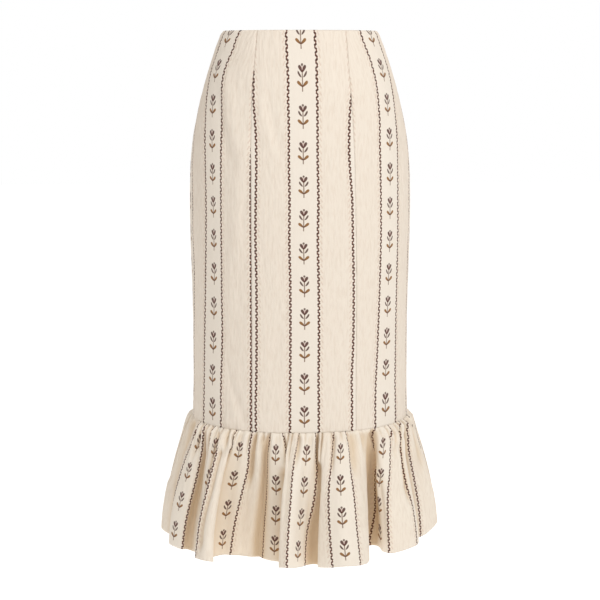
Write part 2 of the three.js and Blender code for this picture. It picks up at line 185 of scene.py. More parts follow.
# Folds of the front flounce: place in the print, fall of each end, half width and depth
FRONT_VALLEYS = [
    (-425, 0, 110, 6, 6.0),
    (-399, 0, 200, 8, 7.5),
    (-364, 0, 46, 5, 6.6),
    (-333, 6, 210, 8, 12.0),
    (-300, 0, 60, 6, 4.8),
    (-268, 0, 130, 7, 9.8),
    (-243, 30, 190, 7, 9.8),
    (-225, 0, 26, 4, 4.8),
    (-207, 30, 210, 6, 13.0),
    (-190, 0, 20, 4, 4.2),
    (-152, 0, 80, 7, 7.2),
    (-132, 0, 24, 4, 4.8),
    (-118, 0, 210, 7, 10.5),
    (-91, 0, 22, 4, 4.2),
    (-67, 0, 70, 6, 9.0),
    (-76, 55, 210, 9, 12.0),
    (-49, 0, 32, 4, 4.8),
    (-33, 0, 24, 4, 4.2),
    (-16, 0, 50, 5, 5.4),
    (5, 0, 20, 4, 4.2),
    (24, 0, 66, 4.5, 9.0),
    (33, 48, 210, 8, 12.8),
    (49, 0, 34, 5, 5.4),
    (73, 0, 62, 5, 6.6),
    (91, 0, 16, 4, 4.2),
    (106, 0, 26, 4, 5.4),
    (119, 0, 62, 6, 6.6),
    (138, 0, 30, 5, 4.8),
    (158, 0, 210, 9, 15.0),
    (186, 0, 22, 4, 4.2),
    (220, 0, 44, 6, 4.8),
    (247, 0, 120, 6, 9.8),
    (281, 0, 210, 8, 12.0),
    (318, 0, 90, 8, 4.8),
    (343, 10, 210, 8, 7.5),
    (390, 0, 150, 8, 7.5),
]

# Heights of the flowers' stem ends, from the waist down
CENTRE_FLOWERS = (-28, -90, -144, -195, -244, -293, -342, -391, -440, -489, -539, -589)
LEFT_FLOWERS = (-25, -77, -129, -180, -228, -277, -327, -379, -432, -485, -535, -589)
RIGHT_FLOWERS = (-24, -76, -127, -178, -230, -280, -330, -380, -429, -478, -526, -583)
BACK_FLOWERS = tuple(-27 - 50.8 * k for k in range(12))
DART_LENGTH = 140

# Soft creases laid one by one: arc and z at each end, half width, depth (a ridge is negative)
CREASES = [
    (-126, -70, -97, -184, 15.0, -3.4),
    (-140, -96, -112, -200, 8.0, 1.2),
    (-96, -176, -104, -330, 15.0, -2.3),
    (-88, -196, -92, -300, 7.0, 0.9),
    (-106, -310, -120, -410, 13.0, -1.3),
    (-56, -92, -29, -196, 8.0, 1.5),
    (-29, -196, -22, -240, 7.0, 1.0),
    (-68, -104, -48, -176, 10.0, -1.4),
    (66, -112, 60, -190, 6.0, 1.5),
    (60, -180, 50, -268, 8.0, 1.0),
    (78, -126, 76, -206, 8.0, -1.3),
    (96, -96, 104, -150, 8.0, 0.7),
    (-124, -500, -108, -550, 7.0, 1.5),
    (-108, -546, -88, -592, 7.0, 1.8),
    (-106, -566, -126, -592, 10.0, -1.9),
    (-150, -560, -128, -580, 8.0, 0.8),
    (-63, -333, -59, -356, 2.6, 0.8),
    (28, -366, 50, -306, 7.0, 0.8),
    (96, -470, 88, -560, 9.0, 0.7),
    (-40, -430, -48, -520, 8.0, 0.7),
    (44, -360, 50, -452, 9.0, 0.6),
    (150, -110, 118, -176, 8.0, 0.9),
    (196, -130, 168, -214, 9.0, 1.3),
    (214, -300, 196, -410, 11.0, 0.9),
    (-206, -140, -178, -220, 9.0, 1.2),
    (-222, -330, -204, -450, 11.0, 1.0),
    (-238, -560, -190, -572, 8.0, -1.0),
    (292, -96, 338, -146, 10.0, 1.4),
    (318, -170, 372, -214, 11.0, 1.7),
    (346, -232, 410, -262, 12.0, 1.3),
    (300, -250, 290, -380, 12.0, 1.0),
    (420, -300, 428, -410, 10.0, 0.9),
    (-286, -104, -330, -150, 10.0, 1.2),
    (-322, -186, -380, -224, 12.0, 1.6),
    (-352, -250, -420, -276, 11.0, 1.1),
    (-304, -300, -296, -430, 12.0, 0.9),
    (-430, -330, -436, -440, 9.0, 0.8),
    (-400, -564, -330, -574, 8.0, -1.0),
    (340, -570, 410, -578, 8.0, -1.0),
]

# Cloth distance round the hem, and where that point of the hem hangs
HEM_FOLDS = np.array([
    (-472.5, -222, 22), (-460, -222, 10), (-440, -214, -8), (-418, -203, -27),
    (-400, -205, -46), (-384, -208, -64), (-364, -201, -82), (-343, -188, -94),
    (-325, -172, -94), (-308, -160, -97), (-290, -159, -113), (-270, -165, -133),
    (-252, -168, -151), (-236, -160, -165), (-220, -146, -171), (-206, -138, -157),
    (-190, -139, -133), (-176, -126, -118), (-161, -113, -116), (-137, -91, -121),
    (-112, -66, -132), (-98, -53, -139), (-86, -42, -146), (-76, -35, -155),
    (-67, -33, -165), (-56, -37, -177), (-46, -41, -188), (-36, -41, -198),
    (-21, -31, -205), (-2, -16, -189), (10, -8, -178), (21, -2, -170),
    (31, 7, -171), (40, 13, -179), (48, 15, -189), (58, 24, -198),
    (70, 36, -206), (90, 55, -213),
    (112, 79, -199), (126, 93, -178), (138, 98, -152), (150, 101, -122),
    (161, 109, -98), (180, 119, -98), (192, 122, -111), (202, 131, -119),
    (226, 149, -114), (252, 175, -101), (272, 184, -82), (293, 187, -61),
    (312, 200, -50), (340, 221, -21), (358, 222, -4), (376, 210, 1),
    (396, 195, 2), (414, 190, 12), (434, 200, 20), (454, 217, 20),
    (472.5, 225, 31), (500, 217, 54), (530, 186, 66), (560, 178, 98),
    (590, 186, 124), (622, 154, 134), (652, 128, 128), (682, 130, 158),
    (712, 112, 176), (744, 84, 156), (776, 68, 158), (808, 60, 192),
    (840, 36, 203), (876, 16, 168), (910, -12, 162), (944, -26, 192),
    (976, -52, 200), (1008, -66, 166), (1040, -92, 150), (1074, -108, 176),
    (1106, -134, 168), (1138, -132, 130), (1172, -148, 116), (1206, -178, 130),
    (1238, -192, 108), (1270, -174, 80), (1304, -178, 60), (1338, -206, 70),
    (1370, -218, 56), (1396, -214, 38),
])

# Down the flounce: cloth below the seam, swing of the fine gathers, of waves of two and of
# four gathers, and how far the whole cloth puffs out
FLOUNCE_ROWS = np.array([
    (0, 0.8, 0, 0, 0),
    (3, 3.0, 0.1, 0, 2.2),
    (7, 4.4, 0.2, 0, 4.0),
    (22, 4.2, 0.6, 0.4, 4.6),
    (46, 2.6, 0.9, 0.9, 3.0),
    (82, 1.6, 0.9, 1.4, 1.6),
    (122, 0.9, 0.7, 1.6, 0.8),
    (162, 0.5, 0.5, 1.4, 0.4),
    (201.5, 0.3, 0.5, 1.2, 0.3),
])
FLOUNCE_STEPS = 200

# The gathers' uneven spacing: size of each drift, and how often it comes round
GATHER_DRIFT = ((5.2, 5), (3.4, 12), (2.2, 19))

# The shade in the folds: how far it looks to each side for the cloth's middle, the depth that
# counts as full, and its limits on crowns and in hollows
SHADE_REACH = 60
SHADE_DEPTH = 30
SHADE_LIMITS = (-0.3, 0.5)
FOLD_HEIGHT = 7

# The flower, one side of it: its middle's place aside and up, lean from level, half length,
# half width, how much wider its outer end is, and how far its ends curl up
LOBES = {
    "gold_leaf": (3.8, 8.8, 40, 5.2, 1.8, 0.45, 0.0),
    "slim_leaf": (4.5, 20.0, 55, 4.5, 1.35, 0.10, 0.6),
    "petal": (2.5, 26.5, 61, 4.9, 1.9, 0.45, 0.0),
}

# Studio: place, size, power and colour of each lamp, in metres and watts
FLOOR_Z = -1.35
ROOM_LIGHT = 0.42
ROOM_COLOUR = (1.0, 0.925, 0.855, 1)
LAMPS = {
    "key": ((1.3, -2.05, 2.4), 0.8, 53, (0.995, 1.0, 1.0)),
    "top": ((-0.7, -1.2, 3.3), 0.8, 27, (0.99, 1.0, 1.0)),
    "back": ((0.6, 2.6, 1.4), 2.2, 14, (1.0, 1.0, 1.0)),
}
LAMPS_AIM = Vector((0, 0, -0.4))

# The photograph's view, in degrees, metres and millimetres of lens
VIEW_TURN = -3.2
VIEW_TILT = 8.87
VIEW_DISTANCE = 2.4
VIEW_HEIGHT = -0.044
VIEW_LENS = 92.28

CREAM_BAND = (0.852, 0.790, 0.700, 1)
CREAM_PLAIN = (0.845, 0.768, 0.668, 1)
# Painted light: the flounce's creams are the body's made about 5% lighter, to lift its crests, which
# the lamps leave darker
FLOUNCE_BAND_PAINTED_LIGHT = (0.890, 0.825, 0.725, 1)
FLOUNCE_PLAIN_PAINTED_LIGHT = (0.888, 0.812, 0.702, 1)
SHADE_TINT = (0.800, 0.700, 0.600, 1)
INSIDE_TINT = (0.740, 0.640, 0.540, 1)
CHAIN_DARK = (0.048, 0.008, 0.004, 1)
CHAIN_LIGHT = (0.190, 0.056, 0.030, 1)
# Painted shade: the warm tan put into the depths of the folds
PAINTED_FOLD_SHADE = (0.650, 0.470, 0.270, 1)
BLUSH = (0.600, 0.420, 0.320, 1)
PETAL = (0.078, 0.017, 0.012, 1)
SLIM_LEAF = (0.072, 0.023, 0.015, 1)
PALE_MAUVE = (0.470, 0.270, 0.240, 1)
STEM = (0.170, 0.088, 0.052, 1)
GOLD_LEAF = (0.270, 0.122, 0.030, 1)
GOLD_LEAF_FOOT = (0.110, 0.038, 0.014, 1)
# Painted shade for the low streaks of the plain cloth's crinkle
PAINTED_CRINKLE_SHADE = (0.660, 0.540, 0.430, 1)
ENAMEL = (0.780, 0.700, 0.580, 1)
ENAMEL_RUBBED = (0.700, 0.610, 0.490, 1)
WHITE = (1, 1, 1, 1)
FLOOR_GREY = (0.70, 0.70, 0.70, 1)


def place_camera():
    """The photograph's view: a little to the left of the front, looking slightly down."""
    turn = math.radians(VIEW_TURN)
    tilt = math.radians(VIEW_TILT)
    data = bpy.data.cameras.new("camera")
    data.sensor_width = 36
    data.lens = VIEW_LENS
    camera = bpy.data.objects.new("camera", data)
    ahead = -VIEW_DISTANCE * math.cos(turn)
    camera.location = (VIEW_DISTANCE * math.sin(turn), ahead, VIEW_HEIGHT)
    camera.rotation_euler = (math.pi / 2 - tilt, 0, turn)
    bpy.context.scene.collection.objects.link(camera)
    bpy.context.scene.camera = camera


def smooth(at, knots, values):
    """A smooth curve through the values at rising knots, which keeps its end values beyond them."""
    knots = np.asarray(knots, float)
    values = np.asarray(values, float)
    slopes = np.zeros_like(values)
    slopes[1:-1] = (values[2:] - values[:-2]) / (knots[2:] - knots[:-2])
    slopes[0] = (values[1] - values[0]) / (knots[1] - knots[0])
    slopes[-1] = (values[-1] - values[-2]) / (knots[-1] - knots[-2])
    at = np.clip(at, knots[0], knots[-1])
    k = np.clip(np.searchsorted(knots, at, side="right") - 1, 0, len(knots) - 2)
    step = knots[k + 1] - knots[k]
    t = (at - knots[k]) / step
    return ((2 * t**3 - 3 * t**2 + 1) * values[k] + (t**3 - 2 * t**2 + t) * slopes[k] * step
            + (3 * t**2 - 2 * t**3) * values[k + 1] + (t**3 - t**2) * slopes[k + 1] * step)


def noise(x, y, seed):
    """Smooth uneven relief from -1 to 1, with one bump or dip to each unit."""
    cells = 64
    lattice = np.random.default_rng(seed).uniform(-1, 1, (cells, cells))
    column = np.floor(x).astype(int)
    row = np.floor(y).astype(int)
    u = x - column
    v = y - row
    u = u * u * (3 - 2 * u)
    v = v * v * (3 - 2 * v)
    here, beyond = column % cells, (column + 1) % cells
    low, high = row % cells, (row + 1) % cells
    left = lattice[here, low] * (1 - v) + lattice[here, high] * v
    right = lattice[beyond, low] * (1 - v) + lattice[beyond, high] * v
    return left * (1 - u) + right * u


def body_size(name, z):
    """One of the body's sizes at a height, between the rings."""
    return smooth(-z, -BODY_RINGS[:, 0], BODY_RINGS[:, RING_COLUMNS[name]])


class Ring:
    """The body's outline at each of a list of heights, walked from centre front to centre back."""

    def __init__(self, z):
        turn = np.linspace(0, math.pi, 2 * QUARTER_STEPS + 1)[None, :]
        power = 2 / SQUARENESS
        ahead = np.cos(turn)
        depth = np.where(ahead > 0, body_size("front", z)[:, None], body_size("back", z)[:, None])
        self.x = body_size("half", z)[:, None] * np.abs(np.sin(turn)) ** power
        self.y = -depth * np.sign(ahead) * np.abs(ahead) ** power
        steps = np.hypot(np.diff(self.x), np.diff(self.y))
        self.arc = np.concatenate([np.zeros((len(z), 1)), np.cumsum(steps, axis=1)], axis=1)
        self.side = self.arc[:, QUARTER_STEPS]
        self.back = self.arc[:, 2 * QUARTER_STEPS]

    def at(self, arc):
        """Points and outward directions at signed arcs, a row for each height."""
        sign = np.where(arc < 0, -1.0, 1.0)
        x = np.empty_like(arc)
        y = np.empty_like(arc)
        out_x = np.empty_like(arc)
        out_y = np.empty_like(arc)
        for r in range(arc.shape[0]):
            walked = np.abs(arc[r])
            x[r] = np.interp(walked, self.arc[r], self.x[r])
            y[r] = np.interp(walked, self.arc[r], self.y[r])
            out_x[r] = np.interp(walked, self.arc[r], np.gradient(self.y[r], self.arc[r]))
            out_y[r] = -np.interp(walked, self.arc[r], np.gradient(self.x[r], self.arc[r]))
        return sign * x, y, sign * out_x, out_y


def cloth_grid(name, columns, rows):
    """A flat grid of cloth with maps for its print and for the shade in its folds. Returns the
    mesh, and each point's column and row."""
    shape = bmesh.new()
    print_map = shape.loops.layers.uv.new("Cloth")
    shape.loops.layers.uv.new("Folds")
    bmesh.ops.create_grid(shape, x_segments=columns, y_segments=rows, size=0.5)
    for face in shape.faces:
        for loop in face.loops:
            loop[print_map].uv = loop.vert.co.xy
    mesh = bpy.data.meshes.new(name)
    shape.to_mesh(mesh)
    shape.free()
    place = np.empty(len(mesh.vertices) * 3)
    mesh.vertices.foreach_get("co", place)
    place = place.reshape(-1, 3)
    across = np.round((place[:, 0] + 0.5) * columns).astype(int)
    down = np.round((0.5 - place[:, 1]) * rows).astype(int)
    return mesh, across, down


def shape_cloth(name, columns, rows, shape, thickness, outside, inside):
    """A piece of cloth: the grid is moved to the shape's points and given its thickness.
    shape takes shares across and down, and returns x, y, z, the print's distances across and
    down, and the shade in the folds."""
    mesh, across, down = cloth_grid(name, columns, rows)
    share_across = np.linspace(0, 1, columns + 1)
    share_down = np.linspace(0, 1, rows + 1)
    x, y, z, print_across, print_down, shade = shape(share_across, share_down)
    points = np.stack([x[down, across], y[down, across], z[down, across]], axis=1)
    mesh.vertices.foreach_set("co", (points * MM).ravel())
    corner = np.empty(len(mesh.loops), int)
    mesh.loops.foreach_get("vertex_index", corner)
    printed = np.stack([print_across[down, across], print_down[down, across]], axis=1)
    mesh.uv_layers["Cloth"].data.foreach_set("uv", (printed[corner] * MM).ravel())
    shaded = np.stack([shade[down, across], np.zeros(len(down))], axis=1)
    mesh.uv_layers["Folds"].data.foreach_set("uv", shaded[corner].ravel())
    mesh.polygons.foreach_set("use_smooth", np.ones(len(mesh.polygons), bool))
    mesh.materials.append(outside)
    mesh.materials.append(inside)
    mesh.update()
    piece = bpy.data.objects.new(name, mesh)
    bpy.context.scene.collection.objects.link(piece)
    wall = piece.modifiers.new("wall", "SOLIDIFY")
    wall.thickness = thickness * MM
    wall.offset = -1
    wall.use_even_offset = False
    wall.material_offset = 1
    wall.material_offset_rim = 0
    return piece


def print_from_lines(arc, z, lines):
    """The print's distance across, from where its lines fall on the panel at each height."""
    rows = np.array(lines["rows"], float)
    known = np.array(lines["print"], float)
    across = np.empty_like(arc)
    for r in range(arc.shape[0]):
        places = np.array([smooth(-z[r], -rows[:, 0], rows[:, k + 1]) for k in range(len(known))])
        across[r] = np.interp(arc[r], places, known)
        before = arc[r] < places[0]
        after = arc[r] > places[-1]
        across[r, before] = known[0] + arc[r, before] - places[0]
        across[r, after] = known[-1] + arc[r, after] - places[-1]
    return across


def print_down_body(z, flowers):
    """The print's distance down, so that the stem ends fall at the flowers' heights."""
    above = 2 * flowers[0] - flowers[1]
    below = 2 * flowers[-1] - flowers[-2]
    heights = np.array([above, *flowers, below], float)
    return -FLOWER_PITCH * np.interp(-z, -heights, np.arange(len(heights)))


def crease_relief(arc, z):
    """Listed creases: a soft trough or ridge along each short line."""
    relief = np.zeros_like(arc)
    for start_arc, start_z, end_arc, end_z, half_width, depth in CREASES:
        along = np.array([end_arc - start_arc, end_z - start_z], float)
        length = np.hypot(*along)
        along /= length
        travel = (arc - start_arc) * along[0] + (z - start_z) * along[1]
        aside = (arc - start_arc) * -along[1] + (z - start_z) * along[0]
        aside = aside + 2.2 * np.sin(travel / length * 2.6)
        ends = np.clip((travel + 0.25 * length) / (0.5 * length), 0, 1)
        ends = ends * np.clip((1.25 * length - travel) / (0.5 * length), 0, 1)
        ends = ends * ends * (3 - 2 * ends)
        relief -= depth * ends * np.exp(-(aside / half_width) ** 2)
    return relief


def crinkle(across, down, seed):
    """The weave's own crinkle: short uneven upright ripples on the plain cloth, little on
    the flower bands."""
    bent = across + 1.6 * noise(across / 17, down / 24, seed)
    ripple = noise(bent / 3.4, down / 17, seed + 1) + 0.6 * noise(bent / 2.1, down / 9, seed + 2)
    centred = (across + STRIPE_REPEAT / 2) % STRIPE_REPEAT - STRIPE_REPEAT / 2
    plain = np.clip((np.abs(centred) - BAND_HALF + 1) / 4, 0.22, 1)
    return 0.42 * plain * ripple


def seam_relief(arc, z, seam_arcs, seed):
    """Each seam pulls the cloth in along its line and puckers it a little."""
    relief = np.zeros_like(arc)
    for k, seam in enumerate(seam_arcs):
        away = np.abs(arc - seam[:, None])
        relief -= 0.55 * np.exp(-(away / 1.5) ** 2)
        relief += 0.22 * np.exp(-((away - 5) / 3.5) ** 2)
        pucker = noise(z / 7.5 + 0 * arc, away / 30, seed + k)
        relief += 0.28 * pucker * np.exp(-away / 6)
    return relief


def edge_relief(z):
    """The turned waist edge, with its stitched line below it, and the ridge over the flounce."""
    turned = 0.35 * np.exp(-((z + 6) / 4) ** 2) - 0.7 * np.exp(-(z / 1.6) ** 2)
    return turned + 0.35 * np.exp(-((z - SEAM_Z) / 2.5) ** 2)


def body_shape(start, end, print_across, flowers, seed):
    """A body panel between two seams. start and end name its edges."""

    def shape(share_across, share_down):
        z = (SEAM_Z + HALF_SEAM_GAP) * share_down
        ring = Ring(z)
        edges = {
            "left_back": -ring.back,
            "left_side": -ring.side,
            "left_princess": -body_size("left_seam", z),
            "right_princess": body_size("right_seam", z),
            "right_side": ring.side,
            "right_back": ring.back,
        }
        low = edges[start][:, None]
        high = edges[end][:, None]
        arc = low + (high - low) * share_across[None, :]
        heights = np.repeat(z[:, None], len(share_across), axis=1)
        x, y, out_x, out_y = ring.at(arc)
        across = print_across(arc, z, ring)
        down = np.repeat(print_down_body(z, flowers)[:, None], len(share_across), axis=1)
        seams = [edges[start], edges[end]]
        relief = crease_relief(arc, heights) + crinkle(across, down, seed)
        relief += seam_relief(arc, heights, seams, seed) + edge_relief(heights)
        shade = np.zeros_like(arc)
        return x + out_x * relief, y + out_y * relief, heights, across, down, shade

    return shape


def front_print(lines):
    """The print across a front panel, from its own table of lines."""
    return lambda arc, z, ring: print_from_lines(arc, z, lines)


def back_print(arc, z, ring):
    """Both back panels are cut alike, with plain cloth at the centre back and a waist dart."""
    from_centre = ring.back[:, None] - np.abs(arc)
    dart_place = np.interp(-z, (0, DART_LENGTH), (78, 86))[:, None]
    dart_take = np.interp(-z, (0, DART_LENGTH), (14, 0))[:, None]
    taken = dart_take * np.clip((from_centre - dart_place) / 0.8 + 0.5, 0, 1)
    return np.sign(arc) * -(STRIPE_REPEAT / 2 + from_centre + taken)


def on_hem(u):
    """Where the hem hangs at a cloth distance, round and round."""
    first = HEM_FOLDS[0, 0]
    wrapped = first + (u - first) % HEM_CLOTH
    before = HEM_FOLDS[-2:] - [HEM_CLOTH, 0, 0]
    after = HEM_FOLDS[:3] + [HEM_CLOTH, 0, 0]
    table = np.concatenate([before, HEM_FOLDS, after])
    return smooth(wrapped, table[:, 0], table[:, 1]), smooth(wrapped, table[:, 0], table[:, 2])


# The body's outline where the flounce is sewn on
seam_ring = Ring(np.array([SEAM_Z]))


def on_seam(u):
    """Where the flounce is sewn to the body at a cloth distance."""
    quarter = FLOUNCE_WIDTH / 2
    wrapped = np.where(u > FLOUNCE_WIDTH, u - HEM_CLOTH, u)
    walked = np.abs(wrapped)
    in_front = np.minimum(walked, quarter)
    arc = in_front * seam_ring.side[0] / quarter
    arc = arc + (walked - in_front) * (seam_ring.back[0] - seam_ring.side[0]) / quarter
    x, y, _, _ = seam_ring.at((np.sign(wrapped) * arc)[None, :])
    return x[0], y[0]


def flounce_middle(u, share):
    """The smooth cloth before its gathers, a row for each share of the way down."""
    seam_x, seam_y = on_seam(u)
    hem_x, hem_y = on_hem(u)
    flare = (1 - (1 - share) ** FLARE_EASE)[:, None]
    return seam_x + (hem_x - seam_x) * flare, seam_y + (hem_y - seam_y) * flare


def flounce_drop(u, share):
    """How far the cloth has dropped. It is equally long everywhere, so what swings out hangs
    higher."""
    seam_x, seam_y = on_seam(u)
    hem_x, hem_y = on_hem(u)
    swing = np.hypot(hem_x - seam_x, hem_y - seam_y)
    middle = (np.arange(FLOUNCE_STEPS) + 0.5) / FLOUNCE_STEPS
    outward = swing[None, :] * FLARE_EASE * (1 - middle[:, None]) ** (FLARE_EASE - 1)
    steps = np.sqrt(FLOUNCE_LENGTH**2 - outward**2) / FLOUNCE_STEPS
    drop = np.concatenate([np.zeros((1, len(u))), np.cumsum(steps, axis=0)])
    rows = share * FLOUNCE_STEPS
    lower = np.minimum(rows.astype(int), FLOUNCE_STEPS - 1)
    part = (rows - lower)[:, None]
    return drop[lower] * (1 - part) + drop[lower + 1] * part


def gather_depths(gather, crowding, down, seed):
    """The fine gathers under the seam: each has its own depth and its own reach down."""
    chance = np.random.default_rng(seed)
    number = np.arange(GATHERS_PER_HALF + 1)
    depth = np.interp(gather, number, chance.uniform(0.5, 1.5, number.size))
    reach = np.interp(gather, number, chance.choice([16, 24, 34, 48, 70], number.size))
    pinched = 1.7 * np.abs(np.sin(math.pi * gather)) ** 0.85 - 0.95
    return depth * crowding * pinched * np.exp(-(down[:, None] / reach) ** 1.4)


def fold_valleys(place, down, valleys):
    """How far the flounce falls in at its folds. A fold's two ends are soft."""
    depth_in = np.zeros_like(place)
    fall = down[:, None]
    for centre, start, end, half_width, depth in valleys:
        begun = np.clip((fall - start + 6) / 14, 0, 1)
        lasting = np.clip((end + 16 - fall) / 32, 0, 1)
        trough = np.exp(-np.abs((place - centre) / half_width) ** 1.7)
        depth_in += depth * begun * lasting * trough
    return depth_in * (1 - np.exp(-fall / 4))


def back_valleys():
    """The back's folds: as many and as uneven as those in front."""
    chance = np.random.default_rng(37)
    rows = []
    for spaced in range(-450, 460, 26):
        end = chance.choice([24, 40, 66, 110, 160, 210])
        place = spaced + chance.uniform(-8, 8)
        half_width = chance.uniform(4, 8)
        depth = chance.uniform(3.5, 8)
        rows.append((place, 0, end, half_width, depth))
    return rows


def print_along(x, y, print_across):
    """The print keeps its size on the sides of the folds: its chains and flowers stay where
    they are and as wide as they are, and the plain cloth between takes up the difference."""
    bands = np.arange(-5, 6) * STRIPE_REPEAT
    middles = np.concatenate([bands - BAND_HALF, bands, bands + BAND_HALF])
    widths = np.repeat([CHAIN_KEPT, FLOWER_KEPT, CHAIN_KEPT], len(bands))
    order = np.argsort(middles)
    even = np.empty_like(print_across)
    for r in range(len(x)):
        length = np.concatenate([[0], np.cumsum(np.hypot(np.diff(x[r]), np.diff(y[r])))])
        first = print_across[r, 0]
        last = print_across[r, -1]
        kept = [k for k in order if first + 12 < middles[k] < last - 12]
        printed = np.array([first, *middles[kept], last])
        half = np.array([1.0, *widths[kept], 1.0])
        walked = np.interp(printed, print_across[r], length)
        room = np.minimum(np.diff(walked) / np.diff(printed), 1.0)
        known = np.concatenate([printed, printed[:-1] + half[:-1], printed[1:] - half[1:]])
        after = walked[:-1] + half[:-1] * room
        before = walked[1:] - half[1:] * room
        place = np.concatenate([walked, after, before])
        even[r] = np.interp(length, np.sort(place), np.sort(known))
    return even


def fold_shade(middle_x, middle_y, out_x, out_y, fallen_in):
    """How much painted shade the cloth gets: from 0 on the folds' crowns to 1 in their depths, where
    light bounces from cloth to cloth.
    """
    window = np.hanning(2 * SHADE_REACH + 1)
    window /= window.sum()
    deep = np.empty_like(middle_x)
    for r in range(len(middle_x)):
        even_x = np.convolve(np.pad(middle_x[r], SHADE_REACH, mode="edge"), window, mode="valid")
        even_y = np.convolve(np.pad(middle_y[r], SHADE_REACH, mode="edge"), window, mode="valid")
        aside_x = even_x - middle_x[r]
        aside_y = even_y - middle_y[r]
        deep[r] = aside_x * out_x[r] + aside_y * out_y[r]
    shade = np.clip(fallen_in / FOLD_HEIGHT, 0, 0.8) + np.clip(deep / SHADE_DEPTH, *SHADE_LIMITS)
    return np.clip(shade, 0, 1)


def flounce_shape(start_u, print_across_at, valleys, seed):
    """Half of the flounce, from one side seam to the other, starting at cloth distance start_u."""

    def shape(share_across, share_down):
        down = FLOUNCE_LENGTH * share_down**1.25
        share = down / FLOUNCE_LENGTH
        full = 2 * math.pi * share_across
        drift = sum(size * np.sin(full * cycles) for size, cycles in GATHER_DRIFT)
        u = start_u + FLOUNCE_WIDTH * share_across + drift
        gather = share_across * GATHERS_PER_HALF
        middle_x, middle_y = flounce_middle(u, share)
        before_x, before_y = flounce_middle(u - 2, share)
        after_x, after_y = flounce_middle(u + 2, share)
        length = np.hypot(after_x - before_x, after_y - before_y)
        out_x = (after_y - before_y) / length
        out_y = -(after_x - before_x) / length
        print_across = print_across_at(np.repeat(u[None, :], len(share), axis=0), -down)
        print_down = np.repeat(-down[:, None] * FLOUNCE_PRINT_SCALE, len(u), axis=1)
        high = np.searchsorted(down, 12.0)
        crowd = np.gradient(print_across[high]) / np.gradient(u) / FLOUNCE_PRINT_SCALE
        crowd = np.convolve(np.pad(crowd, 14, mode="edge"), np.full(29, 1 / 29), mode="valid")
        crowding = np.clip((1.8 * crowd - 1) / 0.8, 0.3, 1.35)
        fine, double, broad, puff = (
            smooth(down, FLOUNCE_ROWS[:, 0], FLOUNCE_ROWS[:, k])[:, None] for k in (1, 2, 3, 4)
        )
        turn = 2 * math.pi * gather
        soft = noise(u[None, :] / 31 + 0 * down[:, None], down[:, None] / 120 + 0 * u, seed + 5)
        wave = fine * gather_depths(gather, crowding, down, seed)
        wave = wave + double * (1 + soft) * np.sin(turn / 2 + 0.6 * np.sin(gather * 0.31))
        wave = wave + broad * np.sin(turn / 4 + 1.1 * np.sin(gather * 0.17))
        short = noise(u[None, :] / 5.2 + 0 * down[:, None], down[:, None] / 22 + 0 * u, seed)
        wave = wave + 0.7 * short * np.exp(-down / 30)[:, None]
        wave = wave + 0.5 * crinkle(print_across, print_down, seed + 3)
        folds = fold_valleys(print_across / FLOUNCE_PRINT_SCALE, down, valleys)
        tucked = np.exp(-down / 0.9)[:, None]
        stand = puff + wave - folds - 1.4 * tucked
        x = middle_x + out_x * stand
        y = middle_y + out_y * stand
        z = SEAM_Z - HALF_SEAM_GAP + 1.2 * tucked - flounce_drop(u, share)
        print_across = print_along(x, y, print_across)
        shade = fold_shade(middle_x, middle_y, out_x, out_y, folds - wave)
        return x, y, z, print_across, print_down, shade

    return shape


def flounce_front_print(u, fall):
    """The print across the front strip, crowded where its gathers are."""
    return print_from_lines(u, fall, FLOUNCE_LINES) * FLOUNCE_PRINT_SCALE


def flounce_back_print(u, fall):
    """The print across the back strip, evenly gathered."""
    return (u - FLOUNCE_WIDTH) * FLOUNCE_PRINT_SCALE


class Finish:
    """One material and the wiring of its nodes."""

    def __init__(self, name):
        self.material = bpy.data.materials.new(name)
        self.material.use_nodes = True
        self.tree = self.material.node_tree
        self.shader = self.tree.nodes["Principled BSDF"]

    def node(self, kind, **settings):
        """A new node with its settings."""
        made = self.tree.nodes.new(kind)
        for key, value in settings.items():
            setattr(made, key, value)
        return made

    def feed(self, socket, value):
        """Link or set what goes into a socket."""
        if isinstance(value, bpy.types.NodeSocket):
            self.tree.links.new(value, socket)
        elif value is not None:
            socket.default_value = value

    def math(self, operation, *values, clamp=False):
        """One sum on numbers."""
        made = self.node("ShaderNodeMath", operation=operation, use_clamp=clamp)
        for socket, value in zip(made.inputs, values):
            self.feed(socket, value)
        return made.outputs[0]

    def join(self, x, y, z=0.0):
        """A place from its numbers."""
        made = self.node("ShaderNodeCombineXYZ")
        for socket, value in zip(made.inputs, (x, y, z)):
            self.feed(socket, value)
        return made.outputs[0]

    def blend(self, share, first, second):
        """A share of the second colour over the first."""
        made = self.node("ShaderNodeMix", data_type="RGBA")
        self.feed(made.inputs["Factor"], share)
        self.feed(made.inputs[6], first)
        self.feed(made.inputs[7], second)
        return made.outputs[2]

    def fade(self, value, full, gone):
        """1 where value is at or below full, 0 from gone on, smooth between."""
        made = self.node("ShaderNodeMapRange", interpolation_type="SMOOTHSTEP")
        self.feed(made.inputs["Value"], value)
        self.feed(made.inputs["From Min"], full)
        self.feed(made.inputs["From Max"], gone)
        self.feed(made.inputs["To Min"], 1.0)
        self.feed(made.inputs["To Max"], 0.0)
        return made.outputs["Result"]

    def noise(self, vector, scale, detail=2.0, roughness=0.5):
        """Uneven cloudiness, about a half."""
        made = self.node("ShaderNodeTexNoise")
        self.feed(made.inputs["Vector"], vector)
        self.feed(made.inputs["Scale"], scale)
        self.feed(made.inputs["Detail"], detail)
        self.feed(made.inputs["Roughness"], roughness)
        return made.outputs["Fac"]


